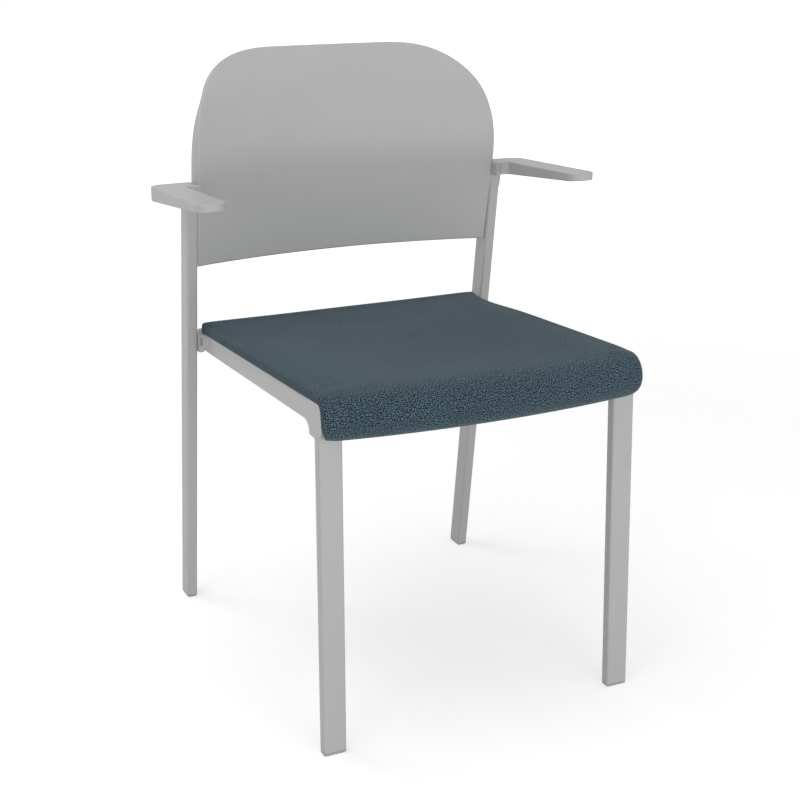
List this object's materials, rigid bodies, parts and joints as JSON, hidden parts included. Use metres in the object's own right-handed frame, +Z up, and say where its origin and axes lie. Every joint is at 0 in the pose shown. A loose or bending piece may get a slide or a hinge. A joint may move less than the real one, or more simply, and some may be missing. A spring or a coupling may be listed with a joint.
{
  "type": "four-legged armchair",
  "caption": "Armchair on four flat-tube legs, with a padded fabric seat, a curved one-piece plastic back and two short flat arms on the tall rear legs.",
  "frame": {"origin": "on the floor, under the middle of the chair's bounding box", "axes": "+Z up, the sitter faces -Y, +X is the sitter's left and the chair is symmetric across X"},
  "size_m": [0.5796, 0.581, 0.8343],
  "materials": {
    "frame_paint": "light grey satin powder coat",
    "shell_plastic": "light grey satin moulded plastic",
    "glide_plastic": "light grey moulded plastic",
    "pan_plastic": "black moulded plastic",
    "foam": "cut upholstery foam",
    "cover_fabric": "blue-grey speckled woven wool",
    "zinc_steel": "zinc plated"
  },
  "bodies": {
    "root": {"left_front_leg": "frame_paint", "right_front_leg": "frame_paint", "left_upright": "frame_paint", "right_upright": "frame_paint", "left_side_rail": "frame_paint", "right_side_rail": "frame_paint", "front_crossbar": "frame_paint", "rear_crossbar": "frame_paint", "left_front_glide": "glide_plastic", "right_front_glide": "glide_plastic", "left_rear_glide": "glide_plastic", "right_rear_glide": "glide_plastic", "left_arm": "shell_plastic", "right_arm": "shell_plastic", "back_panel": "shell_plastic", "seat_pan": "pan_plastic", "seat_foam": "foam", "seat_cover": "cover_fabric", "leg_screws": "zinc_steel", "rail_bolts": "zinc_steel", "rail_rivet_nuts": "zinc_steel", "crossbar_screws": "zinc_steel", "seat_screws": "zinc_steel", "seat_tee_nuts": "zinc_steel", "back_screws": "zinc_steel", "back_rivet_nuts": "zinc_steel", "arm_screws": "zinc_steel"}
  },
  "joints": []
}
